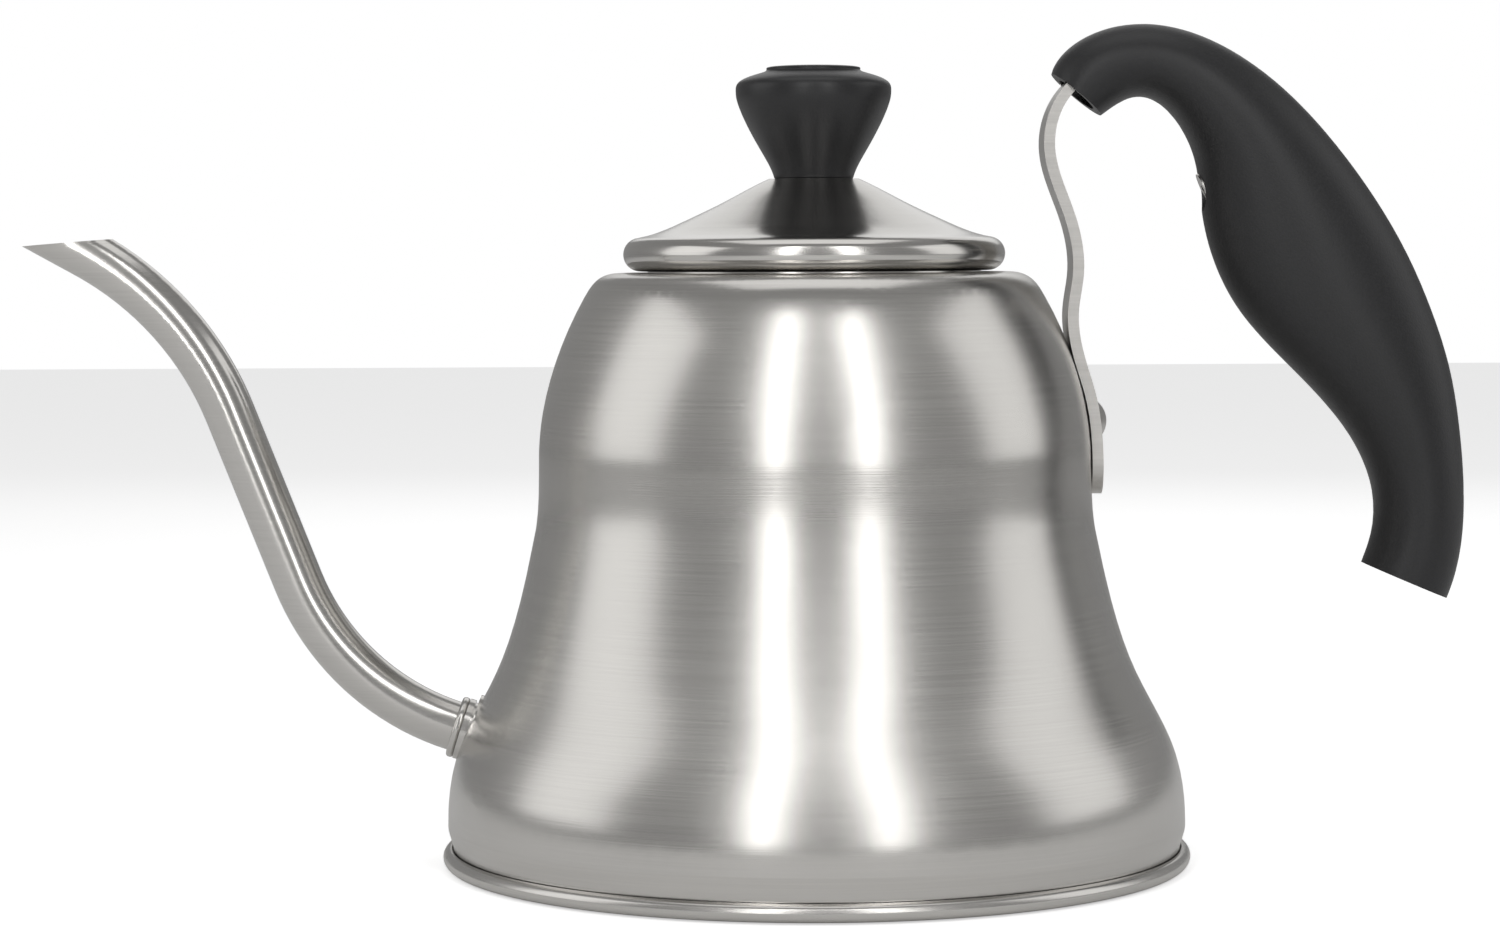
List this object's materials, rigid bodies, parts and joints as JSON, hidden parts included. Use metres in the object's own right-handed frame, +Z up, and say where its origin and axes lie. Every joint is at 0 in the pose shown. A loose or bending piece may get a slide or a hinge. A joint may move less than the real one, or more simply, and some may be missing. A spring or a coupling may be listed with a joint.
{
  "type": "gooseneck kettle",
  "caption": "Stovetop gooseneck kettle: flared steel bell body, slender curved pouring spout, lift-off lid with round knob, strap handle with black grip.",
  "frame": {"origin": "middle of the flat underside, on the axis of the body", "axes": "+Z up along the axis of the body, spout to -X, handle to +X, plane of symmetry Y = 0"},
  "size_m": [0.2786, 0.145, 0.1617],
  "materials": {
    "brushed_body": "brushed round the axis",
    "lid_steel": "brushed round the axis, rim polished",
    "ring_steel": "satin",
    "spout_steel": "fine satin",
    "strap_steel": "satin",
    "screw_steel": "plain",
    "insert_brass": "machined",
    "black_plastic": "fine grain"
  },
  "bodies": {
    "kettle": {"body_shell": "brushed_body", "base_plate": "ring_steel", "spout_socket": "spout_steel", "spout_tube": "spout_steel", "handle_strap": "strap_steel", "handle_rivet": "strap_steel", "grip": "black_plastic", "grip_screw": "screw_steel"},
    "lid": {"lid_shell": "lid_steel", "lid_skirt": "lid_steel", "knob": "black_plastic", "knob_insert": "insert_brass", "knob_washer": "screw_steel", "knob_spring_washer": "screw_steel", "knob_screw": "screw_steel"}
  },
  "joints": [
    {"name": "lid_lift", "type": "slide", "parent": "kettle", "child": "lid", "axis": [0, 0, 1], "range_m": [0, 0.06]}
  ]
}
